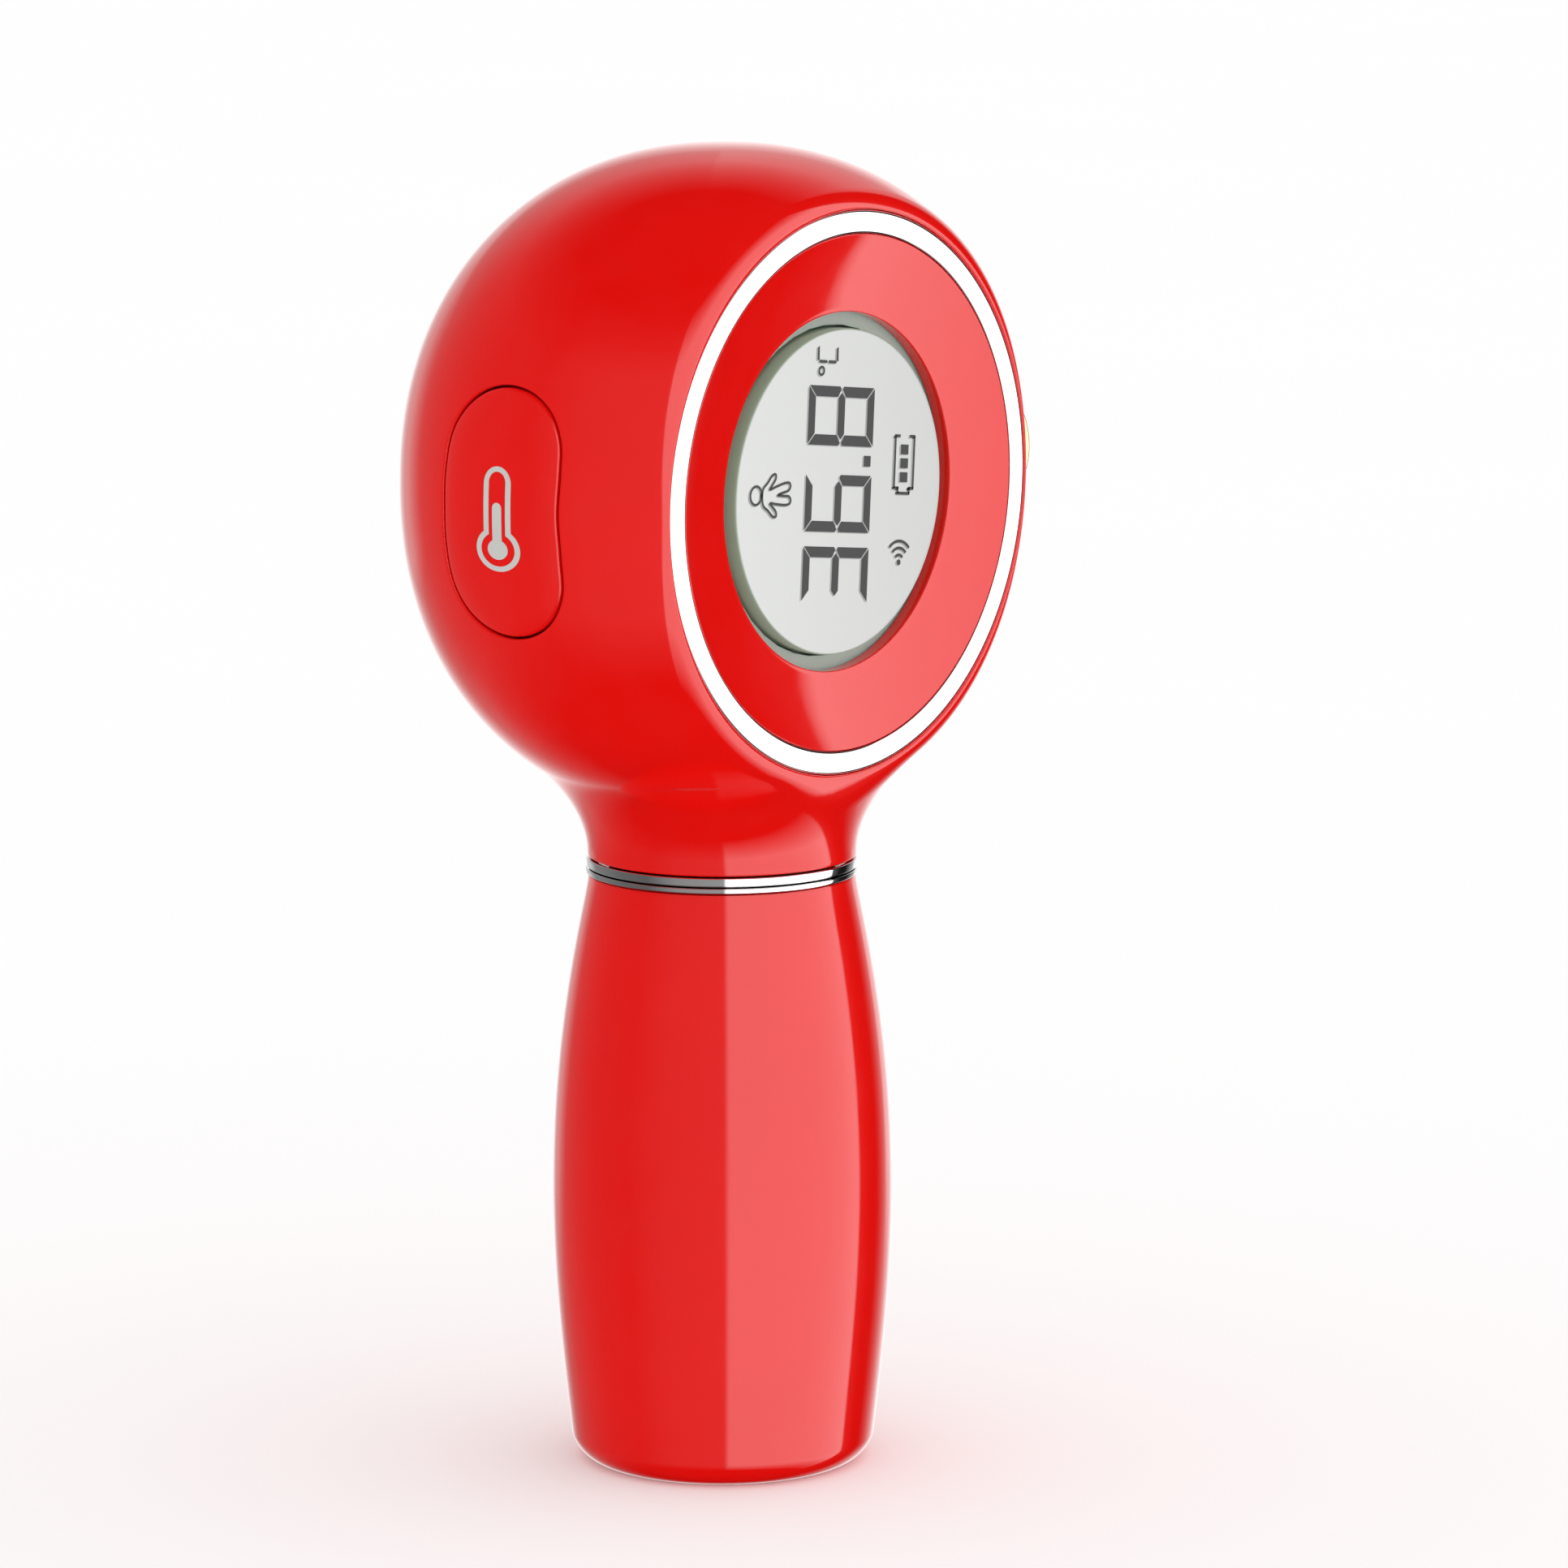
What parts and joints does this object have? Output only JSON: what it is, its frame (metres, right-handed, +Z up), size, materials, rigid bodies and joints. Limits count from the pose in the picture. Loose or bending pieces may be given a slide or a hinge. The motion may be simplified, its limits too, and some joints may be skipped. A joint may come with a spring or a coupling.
{
  "type": "hand-held infrared thermometer",
  "caption": "Ball-headed infrared thermometer with a dished round display, a side press key, a sensor nose and a barrel handle that pulls off its cell carrier.",
  "frame": {"origin": "centre of the handle's flat base, on the handle axis", "axes": "+Z up the handle axis; the display faces -Y, the press key -X and the sensor nose +X"},
  "size_m": [0.0803, 0.0516, 0.1442],
  "materials": {
    "shell_red": "high gloss, one colour",
    "trim_chrome": "mirror chrome",
    "tip_metal": "champagne, satin",
    "window": "pale grey window, glossy",
    "lcd_glass": "clear",
    "chassis_grey": "fine grain",
    "frame_white": "fine grain",
    "board_green": "solder mask",
    "chip_black": "moulded",
    "strip_rubber": "striped elastomer",
    "steel": "bright",
    "holder_brass": "turned",
    "filter_glass": "coated",
    "flex_amber": "film",
    "carrier_black": "fine grain",
    "seal_black": "smooth",
    "cell_wrap": "film sleeve",
    "lead_red": "smooth",
    "lead_black": "smooth"
  },
  "bodies": {
    "handle": {"handle_sleeve": "shell_red", "neck_ring_lower": "trim_chrome"},
    "head": {"head_shell": "shell_red", "battery_carrier": "carrier_black", "display_chassis": "chassis_grey", "display_bezel": "shell_red", "display_trim_ring": "trim_chrome", "neck_ring_upper": "trim_chrome", "contact_bridge": "steel", "contact_negative": "steel", "main_board": "board_green", "battery_lead_positive": "lead_red", "battery_lead_negative": "lead_black", "nose_collar": "shell_red", "carrier_seal": "seal_black", "battery_cell_1": "cell_wrap", "battery_cell_2": "cell_wrap", "display_window": "window", "nose_tip_ring": "tip_metal", "buzzer": "chip_black", "sensor_horn": "trim_chrome", "sensor_can": "steel", "sensor_holder": "holder_brass", "chassis_screw_1": "steel", "chassis_screw_2": "steel", "chassis_screw_3": "steel", "chassis_screw_4": "steel", "board_screw_1": "steel", "board_screw_2": "steel", "board_screw_3": "steel", "board_screw_4": "steel", "sensor_flex": "flex_amber", "carrier_screw_1": "steel", "carrier_screw_2": "steel", "sensor_filter": "filter_glass", "sensor_board": "board_green", "lcd_frame": "frame_white", "tact_switch": "chip_black", "lcd_panel": "lcd_glass", "light_guide": "frame_white", "contact_strip_upper": "strip_rubber", "contact_strip_lower": "strip_rubber", "controller_chip": "chip_black", "wireless_module": "steel", "contact_positive": "steel"},
    "key": {"key_cap": "shell_red", "switch_plunger": "chip_black"}
  },
  "joints": [
    {"name": "head_lift", "type": "slide", "parent": "handle", "child": "head", "axis": [0, 0, 1], "range_m": [0, 0.06]},
    {"name": "key_press", "type": "slide", "parent": "head", "child": "key", "axis": [1, 0, 0], "range_m": [0, 0.0006], "stiffness_N_per_m": 2500}
  ]
}
